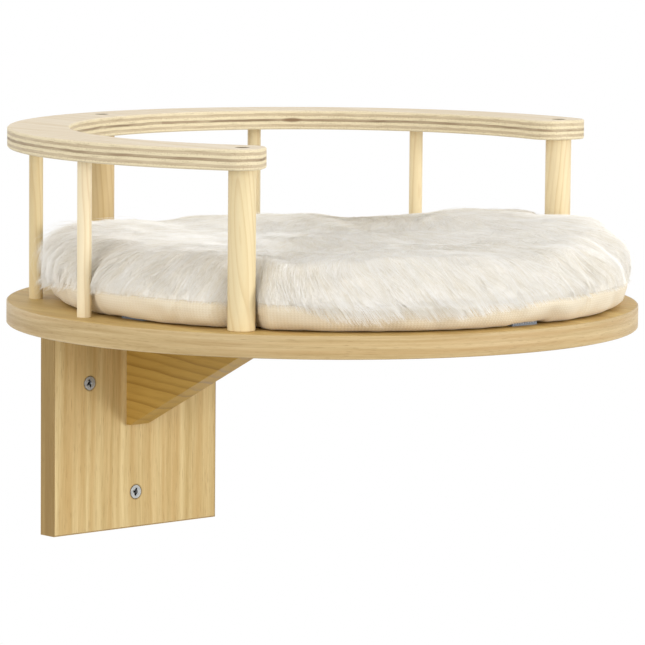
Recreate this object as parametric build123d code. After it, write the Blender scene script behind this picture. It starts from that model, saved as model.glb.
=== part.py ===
from build123d import *
from dataclasses import dataclass
from math import asin, cos, degrees, radians, sin
import os

# Wall-mounted round cat bed: a round shelf on a wall plate and a bracket, with a
# C-shaped plywood guard rail on posts and spindles, and a loose furry cushion.
# Frame: origin at the middle of the wall plate's back face, +X to the right along
# the wall, +Y into the wall, +Z up. Lengths are in millimetres, angles in degrees.

# Round shelf, a foil-faced board with a band round its edge
shelf_radius = 215
shelf_thickness = 15
edge_band_thickness = 1
edge_easing = 0.5

# Wall plate, the same board stood upright under the shelf's back
plate_width = 150
plate_height = 167
plate_thickness = 15

# Solid wood bracket between plate and shelf
bracket_length = 178
bracket_height = 92
bracket_thickness = 18
bracket_blunt_edge = 4
bracket_easing = 0.8

# C-shaped guard rail of seven-ply plywood, open towards the front
rail_outer_radius = 214.5
rail_band_width = 42
rail_thickness = 13.5
rail_clear_height = 104
rail_end_overhang = 14
rail_end_radius = 16
rail_easing = 0.8
rail_turn = 11.75

# Posts and spindles stand on one circle, at angles from the rail's middle
post_circle_radius = 195
post_radius = 9
spindle_radius = 4.75
socket_depth = 8
end_post_angle = 111.2
outer_spindle_angle = 73.4
inner_spindle_angle = 38.5
post_easing = 0.6

# Loose cushion: a filled case with a fur top and a plain base, seamed round its side
cushion_radius = 198
cushion_shift = 14
cushion_foot_inset = 14
cushion_seam_inset = 3
cushion_shoulder_inset = 16
cushion_seam_height = 16
cushion_shoulder_height = 41
cushion_crown_height = 46
base_cover_thickness = 1.5
fur_cover_thickness = 6
post_dent_clearance = 0.6
base_bulge_share = 0.75
side_bulge_height_share = 0.45
crown_flat_radius = 40
case_steps = (2, 4)
crown_steps = 3
filling_steps = (1, 2)

# Hook and loop pads that keep the cushion on the shelf
pad_size = 22
pad_thickness = 1
pad_edge_inset = 3
pad_count = 4

# Fits
fit_clearance = 0.1
overrun = 5

# Countersunk screws: those that hold the frame together, and the ones into the wall
frame_screw_head_radius = 4
frame_screw_head_height = 2.4
frame_screw_radius = 2
rail_screw_length = 35
foot_screw_length = 40
bracket_screw_length = 40
plate_screw_length = 45
wall_screw_head_radius = 5
wall_screw_head_height = 3
wall_screw_radius = 2.5
wall_screw_length = 50
wall_screw_tip_length = 6
wall_screw_neck_radius = 2
wall_screw_neck_length = 16
rail_screw_sink = 0.8
wall_hole_clearance = 0.25
wall_screw_spacing = 85
wall_screw_upper_height = 24
wall_screw_lower_height = -58
bracket_screw_near = 35
bracket_screw_far = 120
plate_screw_offset = 28
back_screw_upper_drop = 25
back_screw_lower_drop = 68


@dataclass(frozen=True)
class Screw:
    """A countersunk wood screw, its lengths counted from the head's flat top."""

    head_radius: float
    head_height: float
    radius: float
    length: float
    tip_length: float = 0
    neck_radius: float = 0
    neck_length: float = 0


def frame_screw(length):
    """One of the like screws inside the frame, its hidden end left blunt."""
    return Screw(frame_screw_head_radius, frame_screw_head_height, frame_screw_radius, length)


rail_screw = frame_screw(rail_screw_length)
foot_screw = frame_screw(foot_screw_length)
bracket_screw = frame_screw(bracket_screw_length)
plate_screw = frame_screw(plate_screw_length)
wall_screw = Screw(
    wall_screw_head_radius,
    wall_screw_head_height,
    wall_screw_radius,
    wall_screw_length,
    wall_screw_tip_length,
    wall_screw_neck_radius,
    wall_screw_neck_length,
)

# Levels and centres that follow from the sizes above
shelf_under = plate_height / 2
shelf_top = shelf_under + shelf_thickness
rail_under = shelf_top + rail_clear_height
rail_top = rail_under + rail_thickness
rail_inner_radius = rail_outer_radius - rail_band_width
rail_end_angle = end_post_angle + degrees(rail_end_overhang / post_circle_radius)
shelf_centre = Vector(0, -shelf_radius)
cushion_underside = shelf_top + 2 * pad_thickness
cushion_seam_level = cushion_underside + cushion_seam_height
pad_circle_radius = cushion_radius - cushion_foot_inset - pad_edge_inset - pad_size / 2
cushion_centre = shelf_centre + Vector(0, -cushion_shift).rotate(Axis.Z, rail_turn)

post_angles = {
    "post_left_end": -end_post_angle,
    "post_back": 0,
    "post_right_end": end_post_angle,
}
spindle_angles = {
    "spindle_left_outer": -outer_spindle_angle,
    "spindle_left_inner": -inner_spindle_angle,
    "spindle_right_inner": inner_spindle_angle,
    "spindle_right_outer": outer_spindle_angle,
}


def on_post_circle(angle, height):
    """A point of the post circle, its angle counted clockwise from the rail's middle."""
    turned = radians(angle - rail_turn)
    outward = Vector(sin(turned), cos(turned)) * post_circle_radius
    return shelf_centre + outward + Vector(0, 0, height)


# Places of the screws: each has the head's top as its origin and the head facing +Z
facing_up = (0, 0, 0)
facing_down = (180, 0, 0)
facing_room = (90, 0, 0)
facing_wall = (-90, 0, 0)
plate_front = -plate_thickness
rail_screw_places = [
    Location(on_post_circle(angle, rail_top - rail_screw_sink), facing_up)
    for angle in post_angles.values()
]
foot_screw_places = [
    Location(on_post_circle(angle, shelf_under), facing_down)
    for angle in post_angles.values()
]
bracket_screw_places = [
    Location((0, plate_front - reach, shelf_top), facing_up)
    for reach in (bracket_screw_near, bracket_screw_far)
]
plate_screw_places = [
    Location((side * plate_screw_offset, plate_front / 2, shelf_top), facing_up)
    for side in (-1, 1)
]
back_screw_places = [
    Location((0, 0, shelf_under - drop), facing_wall)
    for drop in (back_screw_upper_drop, back_screw_lower_drop)
]
wall_screw_places = [
    Location((-wall_screw_spacing / 2, plate_front, wall_screw_upper_height), facing_room),
    Location((wall_screw_spacing / 2, plate_front, wall_screw_upper_height), facing_room),
    Location((0, plate_front, wall_screw_lower_height), facing_room),
]


def turned_solid(outline):
    """A solid of revolution about Z from (radius, height) points of a closed outline."""
    points = [(radius, 0, height) for radius, height in outline]
    return revolve(make_face(Polyline(*points, close=True)), Axis.Z)


def screw_solid(screw):
    """The screw: a tapered head, a thinner neck if it has one, a plain shank and a tip."""
    head = [(0, 0), (screw.head_radius, 0)]
    neck = [(screw.radius, -screw.head_height)]
    if screw.neck_length:
        neck = [
            (screw.neck_radius, -screw.head_height),
            (screw.neck_radius, -screw.neck_length),
            (screw.radius, -screw.neck_length),
        ]
    shank = [(screw.radius, screw.tip_length - screw.length), (0, -screw.length)]
    return turned_solid(head + neck + shank)


def screw_hole(screw, clearance=fit_clearance):
    """The countersunk hole that takes the screw, open above its head."""
    mouth = screw.head_radius + clearance
    bore = screw.radius + clearance
    bottom = -screw.length - clearance
    outline = [
        (0, overrun),
        (mouth, overrun),
        (mouth, 0),
        (bore, -screw.head_height),
        (bore, bottom),
        (0, bottom),
    ]
    return turned_solid(outline)


def screws(screw, places):
    return [place * screw_solid(screw) for place in places]


def holes(screw, places, clearance=fit_clearance):
    return [place * screw_hole(screw, clearance) for place in places]


def upright(radius, low, high):
    """A round bar along Z between two levels."""
    return extrude(Plane.XY.offset(low) * Circle(radius), high - low)


def shelf_board():
    """The round board with its screw holes and the blind sockets of the spindles."""
    place = Location(shelf_centre)
    board = place * upright(shelf_radius - edge_band_thickness, shelf_under, shelf_top)
    floor_of_socket = shelf_top - socket_depth - fit_clearance
    for angle in spindle_angles.values():
        socket = upright(spindle_radius + fit_clearance, floor_of_socket, shelf_top + overrun)
        board -= Location(on_post_circle(angle, 0)) * socket
    board -= holes(foot_screw, foot_screw_places)
    board -= holes(bracket_screw, bracket_screw_places)
    board -= holes(plate_screw, plate_screw_places)
    return board


def shelf_edge_band():
    """The thin band glued round the board, its two outer arrises eased."""
    place = Location(shelf_centre)
    outer = upright(shelf_radius, shelf_under, shelf_top)
    rims = outer.edges().filter_by(GeomType.CIRCLE)
    eased = chamfer(rims, edge_easing)
    inner = upright(shelf_radius - edge_band_thickness, shelf_under - overrun, shelf_top + overrun)
    return place * (eased - inner) - holes(plate_screw, plate_screw_places)


def wall_plate():
    """The board against the wall, without the bands on its two sides and lower edge."""
    width = plate_width - 2 * edge_band_thickness
    height = plate_height - edge_band_thickness
    board = Box(width, plate_thickness, height, align=(Align.CENTER, Align.MAX, Align.MAX))
    board = Location((0, 0, shelf_under)) * board
    board -= holes(wall_screw, wall_screw_places, wall_hole_clearance)
    board -= holes(bracket_screw, back_screw_places)
    board -= holes(plate_screw, plate_screw_places)
    return board


def plate_edge_bands():
    """Bands on the plate's sides and lower edge, the outer arrises of the sides eased."""
    side = Box(
        edge_band_thickness,
        plate_thickness,
        plate_height,
        align=(Align.MAX, Align.MAX, Align.MAX),
    )
    front_corner = side.edges().filter_by(Axis.Z).sort_by(Axis.X)[-2:].sort_by(Axis.Y)[0]
    side = fillet(front_corner, edge_easing)
    right = Location((plate_width / 2, 0, shelf_under)) * side
    left = mirror(right, Plane.YZ)
    lower = Box(
        plate_width - 2 * edge_band_thickness,
        plate_thickness,
        edge_band_thickness,
        align=(Align.CENTER, Align.MAX, Align.MIN),
    )
    lower = Location((0, 0, -plate_height / 2)) * lower
    return [left, right, lower]


def bracket():
    """The wedge of solid wood: full height at the plate, blunt at both far corners."""
    tip = plate_front - bracket_length
    foot = shelf_under - bracket_height
    corners = [
        (plate_front, shelf_under),
        (tip, shelf_under),
        (tip, shelf_under - bracket_blunt_edge),
        (plate_front - bracket_blunt_edge, foot),
        (plate_front, foot),
    ]
    points = [(0, depth, height) for depth, height in corners]
    side = make_face(Polyline(*points, close=True))
    wedge = extrude(side, bracket_thickness / 2, dir=(1, 0, 0), both=True)
    slanted = [
        edge
        for edge in wedge.edges()
        if abs(edge.tangent_at(0).X) < abs(edge.tangent_at(0).Y)
        and abs(edge.tangent_at(0).Z) > abs(edge.tangent_at(0).X)
    ]
    wedge = fillet(slanted, bracket_easing)
    wedge -= holes(bracket_screw, bracket_screw_places)
    wedge -= holes(bracket_screw, back_screw_places)
    return wedge


def guard_rail():
    """The open ring of plywood, its two ends rounded and all its arrises eased."""
    end = radians(rail_end_angle)
    outward = Vector(sin(end), cos(end))
    mirrored = Vector(-sin(end), cos(end))
    outer = ThreePointArc(
        mirrored * rail_outer_radius, Vector(0, rail_outer_radius), outward * rail_outer_radius
    )
    inner = ThreePointArc(
        outward * rail_inner_radius, Vector(0, rail_inner_radius), mirrored * rail_inner_radius
    )
    right_end = Line(outer @ 1, inner @ 0)
    left_end = Line(inner @ 1, outer @ 0)
    outline = make_face([outer, right_end, inner, left_end])
    outline = fillet(outline.vertices(), rail_end_radius)
    ring = extrude(Plane.XY.offset(rail_under) * outline, rail_thickness)
    faces = ring.faces().filter_by(Axis.Z)
    ring = chamfer([edge for face in faces for edge in face.edges()], rail_easing)
    ring = Location(shelf_centre, (0, 0, rail_turn)) * ring
    roof_of_socket = rail_under + socket_depth + fit_clearance
    for angle in spindle_angles.values():
        socket = upright(spindle_radius + fit_clearance, rail_under - overrun, roof_of_socket)
        ring -= Location(on_post_circle(angle, 0)) * socket
    ring -= holes(rail_screw, rail_screw_places)
    return ring


def post(angle):
    """A thick post between shelf and rail, with a screw hole up each end."""
    bar = upright(post_radius, shelf_top, rail_under)
    bar = chamfer(bar.edges().filter_by(GeomType.CIRCLE), post_easing)
    bar = Location(on_post_circle(angle, 0)) * bar
    bar -= holes(rail_screw, rail_screw_places)
    bar -= holes(foot_screw, foot_screw_places)
    return bar


def spindle(angle):
    """A thin dowel glued into a blind socket at each end."""
    bar = upright(spindle_radius, shelf_top - socket_depth, rail_under + socket_depth)
    return Location(on_post_circle(angle, 0)) * bar


def along(start, through, end, steps):
    """Points from the start of an arc up to, but without, its end."""
    arc = ThreePointArc(start, through, end)
    return [arc @ (step / steps) for step in range(steps)]


def cushion_side(side_inset, top_inset, bottom_inset, steps):
    """The side of the cushion's section, drawn in by the given insets: a lower bulge
    from the foot up to the seam, then an upper bulge up to the shoulder."""
    radius = cushion_radius - side_inset
    shoulder_height = cushion_shoulder_height - top_inset
    bulge_height = (shoulder_height - cushion_seam_height) * side_bulge_height_share
    foot = Vector(radius - cushion_foot_inset, 0, bottom_inset)
    base_bulge = Vector(
        radius - cushion_seam_inset * base_bulge_share,
        0,
        (bottom_inset + cushion_seam_height) / 2,
    )
    seam = Vector(radius - cushion_seam_inset, 0, cushion_seam_height)
    side_bulge = Vector(radius, 0, cushion_seam_height + bulge_height)
    shoulder = Vector(radius - cushion_shoulder_inset, 0, shoulder_height)
    base_steps, side_steps = steps
    lower = along(foot, base_bulge, seam, base_steps)
    upper = along(seam, side_bulge, shoulder, side_steps)
    return lower + upper + [shoulder]


def cushion_crown(shoulder):
    """The crown of the section, from the shoulder up to the flat in its middle."""
    reach = shoulder.X - crown_flat_radius
    rise = cushion_crown_height - shoulder.Z
    dome_radius = (reach**2 + rise**2) / (2 * rise)
    half_sweep = asin(reach / dome_radius) / 2
    flank = Vector(
        crown_flat_radius + dome_radius * sin(half_sweep),
        0,
        cushion_crown_height - dome_radius * (1 - cos(half_sweep)),
    )
    crown = Vector(crown_flat_radius, 0, cushion_crown_height)
    return along(shoulder, flank, crown, crown_steps)[1:] + [crown]


def turned_cushion(section):
    """A full turn of half a section, closed along the cushion's axis."""
    first, last = Vector(0, 0, section[0].Z), Vector(0, 0, section[-1].Z)
    return revolve(make_face(Polyline(first, *section, last, close=True)), Axis.Z)


def cushion_body(section, dent_clearance):
    """The cushion in its place, dented where posts press into its side."""
    body = turned_cushion(section)
    body = Location(cushion_centre + Vector(0, 0, cushion_underside)) * body
    for angle in post_angles.values():
        dent = upright(post_radius + dent_clearance, shelf_under, rail_top)
        body -= Location(on_post_circle(angle, 0)) * dent
    for angle in spindle_angles.values():
        dent = upright(spindle_radius + dent_clearance, shelf_under, rail_top)
        body -= Location(on_post_circle(angle, 0)) * dent
    return body


def cushion_whole():
    """The cushion's outer form, from which both covers are cut."""
    side = cushion_side(0, 0, 0, case_steps)
    return cushion_body(side + cushion_crown(side[-1]), post_dent_clearance)


def cushion_filling():
    """The flat disc of padding inside the covers."""
    side = cushion_side(
        fur_cover_thickness, fur_cover_thickness, base_cover_thickness, filling_steps
    )
    return cushion_body(side, post_dent_clearance + base_cover_thickness)


def cushion_base():
    """The plain lower cover, up to the seam."""
    cover = cushion_whole() - cushion_filling()
    return split(cover, Plane.XY.offset(cushion_seam_level), keep=Keep.BOTTOM)


def cushion_top():
    """The fur cover above the seam, its pile and wadding taken into its thickness."""
    cover = cushion_whole() - cushion_filling()
    return split(cover, Plane.XY.offset(cushion_seam_level), keep=Keep.TOP)


def pads(low):
    """The four square pads of one layer, spread evenly under the cushion's rim."""
    layer = []
    pad = Box(pad_size, pad_size, pad_thickness, align=(Align.CENTER, Align.CENTER, Align.MIN))
    for index in range(pad_count):
        turn = 360 * index / pad_count
        out = Vector(0, pad_circle_radius).rotate(Axis.Z, turn)
        layer.append(Location(cushion_centre + out + Vector(0, 0, low), (0, 0, turn)) * pad)
    return layer


def write(name, shape):
    """Write one piece, or a group of separate like solids, as a file of its own."""
    if isinstance(shape, list):
        shape = Compound(children=[solid for item in shape for solid in item.solids()])
    export_step(shape, f"parts/{name}.step")


os.makedirs("parts", exist_ok=True)
write("shelf_board", shelf_board())
write("shelf_edge_band", shelf_edge_band())
write("wall_plate", wall_plate())
write("plate_edge_bands", plate_edge_bands())
write("bracket", bracket())
write("guard_rail", guard_rail())
for name, angle in post_angles.items():
    write(name, post(angle))
for name, angle in spindle_angles.items():
    write(name, spindle(angle))
write("rail_screws", screws(rail_screw, rail_screw_places))
write("post_foot_screws", screws(foot_screw, foot_screw_places))
write("bracket_top_screws", screws(bracket_screw, bracket_screw_places))
write("bracket_back_screws", screws(bracket_screw, back_screw_places))
write("plate_top_screws", screws(plate_screw, plate_screw_places))
write("wall_screws", screws(wall_screw, wall_screw_places))
write("cushion_filling", cushion_filling())
write("cushion_base", cushion_base())
write("cushion_top", cushion_top())
write("hook_pads", pads(shelf_top))
write("loop_pads", pads(shelf_top + pad_thickness))
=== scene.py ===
import math
from functools import partialmethod

import bmesh
import bpy
from mathutils import Matrix, Vector, noise


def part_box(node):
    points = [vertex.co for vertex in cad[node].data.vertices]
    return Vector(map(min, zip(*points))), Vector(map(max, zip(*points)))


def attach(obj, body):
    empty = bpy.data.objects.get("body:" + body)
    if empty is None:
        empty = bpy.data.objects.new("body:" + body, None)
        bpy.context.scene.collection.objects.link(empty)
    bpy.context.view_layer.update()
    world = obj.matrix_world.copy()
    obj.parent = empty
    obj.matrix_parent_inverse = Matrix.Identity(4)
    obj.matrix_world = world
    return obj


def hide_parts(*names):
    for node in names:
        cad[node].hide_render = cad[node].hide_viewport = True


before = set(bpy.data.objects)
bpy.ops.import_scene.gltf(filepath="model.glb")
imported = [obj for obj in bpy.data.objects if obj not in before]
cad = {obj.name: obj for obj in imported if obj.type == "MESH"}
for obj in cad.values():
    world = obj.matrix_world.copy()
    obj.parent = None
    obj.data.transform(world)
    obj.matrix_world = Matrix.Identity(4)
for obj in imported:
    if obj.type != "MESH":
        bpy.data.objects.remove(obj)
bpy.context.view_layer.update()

# Wall plate: a 15 mm board faced with oak-look foil, its grain upright, that stands
# against the wall and carries the shelf on its upper edge. Thin bands of the same
# print are glued on its two sides and its lower edge.


def paint(red, green, blue):
    """A colour given from 0 to 255, as a shader's socket takes it."""
    return tuple(((part / 255 + 0.055) / 1.055) ** 2.4 for part in (red, green, blue)) + (1,)


class Nodes:
    """Sets and joins the nodes of one material or node group."""

    def __init__(self, tree):
        self.tree = tree

    def put(self, kind, inputs=None, **settings):
        made = self.tree.nodes.new(kind)
        for key, value in settings.items():
            setattr(made, key, value)
        for key, value in (inputs or {}).items():
            self.feed(made.inputs[key], value)
        return made

    def feed(self, socket, value):
        if isinstance(value, bpy.types.NodeSocket):
            self.tree.links.new(value, socket)
        elif value is not None:
            socket.default_value = value

    def get(self, kind, inputs=None, **settings):
        return self.put(kind, inputs, **settings).outputs[0]

    def math(self, operation, *values):
        return self.get("ShaderNodeMath", dict(enumerate(values)), operation=operation)

    def vector(self, operation, *values):
        keys = (0, "Scale") if operation == "SCALE" else range(len(values))
        made = self.put("ShaderNodeVectorMath", dict(zip(keys, values)), operation=operation)
        scalar = operation in ("LENGTH", "DOT_PRODUCT", "DISTANCE")
        return made.outputs["Value" if scalar else "Vector"]

    plus = partialmethod(math, "ADD")
    minus = partialmethod(math, "SUBTRACT")
    times = partialmethod(math, "MULTIPLY")
    over = partialmethod(math, "DIVIDE")
    shift = partialmethod(vector, "ADD")
    stretch = partialmethod(vector, "MULTIPLY")
    scaled = partialmethod(vector, "SCALE")

    def swing(self, value, width):
        return self.times(self.minus(value, 0.5), width)

    def noise(self, place, scale, detail=2.0, roughness=0.5, distortion=0.0):
        inputs = {"Vector": place, "Scale": scale, "Detail": detail}
        inputs.update({"Roughness": roughness, "Distortion": distortion})
        return self.get("ShaderNodeTexNoise", inputs)

    def between(self, value, low, high, to_low=0.0, to_high=1.0):
        inputs = {0: value, 1: low, 2: high, 3: to_low, 4: to_high}
        return self.get("ShaderNodeMapRange", inputs)

    def mix(self, factor, first, second, share=None):
        if share is not None:
            factor = self.times(factor, share)
        inputs = {0: factor, 6: first, 7: second}
        return self.put("ShaderNodeMix", inputs, data_type="RGBA").outputs[2]

    def ramp(self, factor, stops):
        made = self.put("ShaderNodeValToRGB", {0: factor})
        while len(made.color_ramp.elements) < len(stops):
            made.color_ramp.elements.new(0.5)
        for element, (position, colour) in zip(made.color_ramp.elements, stops):
            element.position = position
            element.color = colour
        return made.outputs[0]

    def split(self, place):
        return self.put("ShaderNodeSeparateXYZ", {0: place}).outputs[:3]

    def join(self, x, y, z):
        return self.get("ShaderNodeCombineXYZ", {0: x, 1: y, 2: z})

    def use(self, group, inputs):
        return self.put("ShaderNodeGroup", inputs, node_tree=group).outputs

    def object_place(self):
        return self.put("ShaderNodeTexCoord").outputs["Object"]


def new_group(name, inputs, outputs):
    """An empty node group with named sockets: its nodes, what comes in and where to put out."""
    tree = bpy.data.node_groups.new(name, "ShaderNodeTree")
    for label, start in inputs.items():
        kind = "NodeSocketVector" if start is None else "NodeSocketFloat"
        made = tree.interface.new_socket(label, in_out="INPUT", socket_type=kind)
        if start is not None:
            made.default_value = start
    for label in outputs:
        tree.interface.new_socket(label, in_out="OUTPUT", socket_type="NodeSocketFloat")
    nodes = Nodes(tree)
    return nodes, nodes.put("NodeGroupInput").outputs, nodes.put("NodeGroupOutput").inputs


def new_material(name, **sockets):
    """A material with one Principled shader whose plain values are set on its own sockets."""
    made = bpy.data.materials.new(name)
    made.use_nodes = True
    nodes = Nodes(made.node_tree)
    shader = made.node_tree.nodes["Principled BSDF"]
    for label, value in sockets.items():
        shader.inputs[label.replace("_", " ")].default_value = value
    return made, nodes, shader


def skin(nodes, shader, colour, roughness, height=None, depth=0.0, strength=1.0):
    """Feeds the shader its colour, its roughness and a relief of that depth in metres."""
    nodes.feed(shader.inputs["Base Color"], colour)
    nodes.feed(shader.inputs["Roughness"], roughness)
    if height is not None:
        relief = {"Strength": strength, "Distance": depth, "Height": height}
        nodes.feed(shader.inputs["Normal"], nodes.get("ShaderNodeBump", relief))


def tinted(colour, *tints):
    """A painted colour with its red, green and blue multiplied."""
    return tuple(part * tint for part, tint in zip(colour, (*tints, 1)))


# The printed oak: soft light and dark bands, fine lines and short dark pores along Z
nodes, given, result = new_group(
    "oak_print",
    {"Place": None, "Band width": 0.004, "Line width": 0.0006},
    ["Bands", "Lines", "Pores", "Warmth"],
)
sway = nodes.swing(nodes.noise(nodes.stretch(given["Place"], (9, 9, 5)), 1, 1), 0.007)
swayed = nodes.shift(given["Place"], nodes.join(sway, sway, 0))
drawn = nodes.stretch(swayed, (1, 1, 0.022))
short = nodes.stretch(swayed, (1, 1, 0.07))
elsewhere = nodes.shift(drawn, (0.31, 0.17, 0.05))
bands = nodes.noise(drawn, nodes.over(1, given["Band width"]), 1, 0.5)
broad = nodes.noise(drawn, nodes.over(0.3, given["Band width"]), 1, 0.5)
bands = nodes.plus(nodes.times(bands, 0.5), nodes.times(broad, 0.5))
lines = nodes.noise(drawn, nodes.over(1, given["Line width"]), 2, 0.6)
pores = nodes.noise(short, nodes.over(0.8, given["Line width"]), 1, 0.5)
warmth = nodes.noise(elsewhere, nodes.over(0.6, given["Band width"]), 2, 0.5)
for label, value, low, high in (
    ("Bands", bands, 0.36, 0.64),
    ("Lines", lines, 0.3, 0.7),
    ("Pores", pores, 0.62, 0.76),
    ("Warmth", warmth, 0.45, 0.68),
):
    nodes.feed(result[label], nodes.between(value, low, high))
oak_print = nodes.tree

# Rubbed arrises: where the surface turns over an edge within the given reach
nodes, given, result = new_group("rubbed_edges", {"Place": None, "Reach": 0.0006}, ["Worn"])
rounded = nodes.get("ShaderNodeBevel", {"Radius": given["Reach"]}, samples=4)
straight = nodes.put("ShaderNodeNewGeometry").outputs["Normal"]
turn = nodes.minus(1, nodes.vector("DOT_PRODUCT", rounded, straight))
patchy = nodes.between(nodes.noise(given["Place"], 130, 2), 0.3, 0.7, 0.35, 1.0)
nodes.feed(result["Worn"], nodes.times(nodes.between(turn, 0.02, 0.25), patchy))
rubbed_edges = nodes.tree


def rubbed(nodes, place, colour, share, bare, reach=0.0009):
    """A colour that goes over to a bare one along the arrises."""
    worn = nodes.use(rubbed_edges, {"Place": place, "Reach": reach})["Worn"]
    return nodes.mix(worn, colour, paint(*bare), share)


def oak_foil(name, along, colours, band=0.004, line=0.0006, roughness=0.52):
    """Oak-look foil in a dark, a light and a pore colour. along turns the grain to Z."""
    made, nodes, shader = new_material(name, Specular_IOR_Level=0.25)
    place = nodes.object_place()
    inputs = {"Place": along(nodes, place), "Band width": band, "Line width": line}
    grain = nodes.use(oak_print, inputs)
    dark, light, pore = (paint(*colour) for colour in colours)
    tone = nodes.plus(nodes.times(grain["Bands"], 0.66), nodes.times(grain["Lines"], 0.34))
    wood = nodes.mix(tone, dark, light)
    wood = nodes.mix(grain["Warmth"], wood, tinted(dark, 1.14, 1.04, 1.0), 0.45)
    wood = nodes.mix(grain["Pores"], wood, pore, 0.36)
    wood = rubbed(nodes, place, wood, 0.45, (242, 224, 182), 0.0006)
    gloss = nodes.between(grain["Lines"], 0, 1, roughness + 0.05, roughness - 0.05)
    skin(nodes, shader, wood, gloss, nodes.minus(grain["Lines"], grain["Pores"]), 0.00006, 0.7)
    return made


def wear(node_name, made):
    """Puts a material on a CAD node."""
    for held in cad[node_name].material_slots:
        held.material = made


def upright_grain(nodes, place):
    """The grain already runs along Z."""
    return place


plate_foil = oak_foil(
    "plate_foil", upright_grain, ((186, 155, 95), (234, 211, 157), (146, 108, 58)), 0.0046
)
plate_band = oak_foil(
    "plate_band", upright_grain, ((150, 122, 72), (180, 151, 98), (128, 98, 56)), 0.003, 0.0005
)
wear("wall_plate", plate_foil)
wear("plate_edge_bands", plate_band)

# The foil is darkened in a narrow ring round each wall screw: painted shade of the gap round the
# head, and some dirt
wall_screw_places = [(-0.0425, 0.024), (0.0425, 0.024), (0, -0.058)]
ring_outside, ring_inside = 0.0062, 0.0052
nodes = Nodes(plate_foil.node_tree)
base_colour = plate_foil.node_tree.nodes["Principled BSDF"].inputs["Base Color"]
colour = base_colour.links[0].from_socket
place = nodes.stretch(nodes.object_place(), (1, 0, 1))
for x, z in wall_screw_places:
    away = nodes.vector("DISTANCE", place, (x, 0, z))
    shade_and_dirt_ring = nodes.between(away, ring_outside, ring_inside)
    colour = nodes.mix(shade_and_dirt_ring, colour, paint(92, 68, 38), 0.6)
nodes.feed(base_colour, colour)

# Shelf: a round board with the same foil, its grain running out from the wall, and a
# thin plastic band with a fine printed grain glued round its edge, its arrises eased.
shelf_radius = 0.215
shelf_centre = Vector((0, -shelf_radius, 0))


def outward_grain(nodes, place):
    """Turns the grain from Y to Z."""
    x, y, z = nodes.split(place)
    return nodes.join(x, z, y)


def round_grain(nodes, place):
    """Unrolls the rim: across its height, out from its middle, and along its length."""
    x, y, z = nodes.split(nodes.vector("SUBTRACT", place, shelf_centre))
    turned = nodes.math("ARCTAN2", x, nodes.times(y, -1))
    out = nodes.vector("LENGTH", nodes.join(x, y, 0))
    return nodes.join(z, out, nodes.times(turned, shelf_radius))


shelf_foil = oak_foil(
    "shelf_foil", outward_grain, ((183, 151, 90), (220, 192, 127), (150, 118, 62))
)
shelf_band = oak_foil(
    "shelf_band", round_grain, ((172, 144, 95), (209, 185, 139), (132, 102, 56)),
    0.0022, 0.00042, 0.42,
)
wear("shelf_board", shelf_foil)
wear("shelf_edge_band", shelf_band)

# Bracket: a wedge sawn from solid pine, its grain running out from the plate, screwed
# to the plate and to the shelf. It is darker than the posts and oiled by handling.

# Growth rings round a leaning pith along Z, darkest at the end of each year's growth
nodes, given, result = new_group(
    "growth_rings",
    {"Place": None, "Pith X": 0.0, "Pith Y": 0.0, "Lean": 0.0, "Ring width": 0.003},
    ["Late wood", "Fibre", "Blush"],
)
x, y, z = nodes.split(given["Place"])
wander = nodes.swing(nodes.noise(nodes.stretch(given["Place"], (30, 30, 9)), 1, 2), 0.009)
across = nodes.plus(nodes.minus(x, given["Pith X"]), nodes.times(z, given["Lean"]))
deep = nodes.minus(y, given["Pith Y"])
radius = nodes.plus(nodes.vector("LENGTH", nodes.join(across, deep, 0)), wander)
years = nodes.over(radius, given["Ring width"])
year = {"W": nodes.math("FLOOR", years)}
strength = nodes.put("ShaderNodeTexWhiteNoise", year, noise_dimensions="1D").outputs["Value"]
season = ((0.0, 0.25), (0.12, 0), (0.55, 0.12), (0.93, 1), (1.0, 0.25))
stops = [(share, (dark, dark, dark, 1)) for share, dark in season]
late = nodes.ramp(nodes.math("FRACT", years), stops)
nodes.feed(result["Late wood"], nodes.times(late, nodes.between(strength, 0, 1, 0.35, 1.0)))
drawn = nodes.stretch(given["Place"], (1, 1, 0.03))
nodes.feed(result["Fibre"], nodes.between(nodes.noise(drawn, 2300, 2, 0.6), 0.3, 0.7))
drawn = nodes.stretch(given["Place"], (1, 1, 0.25))
nodes.feed(result["Blush"], nodes.between(nodes.noise(drawn, 60, 2), 0.3, 0.7))
growth_rings = nodes.tree


def pine(name, along, rings, early, late, fibre, roughness=0.5, contrast=0.75):
    """Solid pine. along turns the grain to Z, rings gives the growth rings' values."""
    made, nodes, shader = new_material(name, Specular_IOR_Level=0.35)
    place = nodes.object_place()
    grain = nodes.use(growth_rings, {"Place": along(nodes, place), **rings})
    wood = nodes.mix(grain["Blush"], early, fibre, 0.35)
    wood = nodes.mix(grain["Late wood"], wood, late, contrast)
    wood = nodes.mix(nodes.between(grain["Fibre"], 0.45, 0.0, 0.0, 0.35), wood, fibre)
    wood = rubbed(nodes, place, wood, 0.35, (250, 236, 202))
    gloss = nodes.between(grain["Late wood"], 0, 1, roughness + 0.06, roughness - 0.08)
    relief = nodes.plus(grain["Late wood"], nodes.times(grain["Fibre"], 0.5))
    skin(nodes, shader, wood, gloss, relief, 0.00009, 0.8)
    return made


def bracket_grain(nodes, place):
    """Turns the grain from Y to Z and the growth rings' plane to the bracket's ends."""
    x, y, z = nodes.split(place)
    return nodes.join(z, x, y)


rings = {"Pith X": 0.13, "Pith Y": 0.02, "Lean": -0.06, "Ring width": 0.0062}
early, late, fibre = paint(198, 160, 80), paint(142, 102, 34), paint(166, 126, 50)
wear("bracket", pine("bracket_pine", bracket_grain, rings, early, late, fibre))

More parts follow.
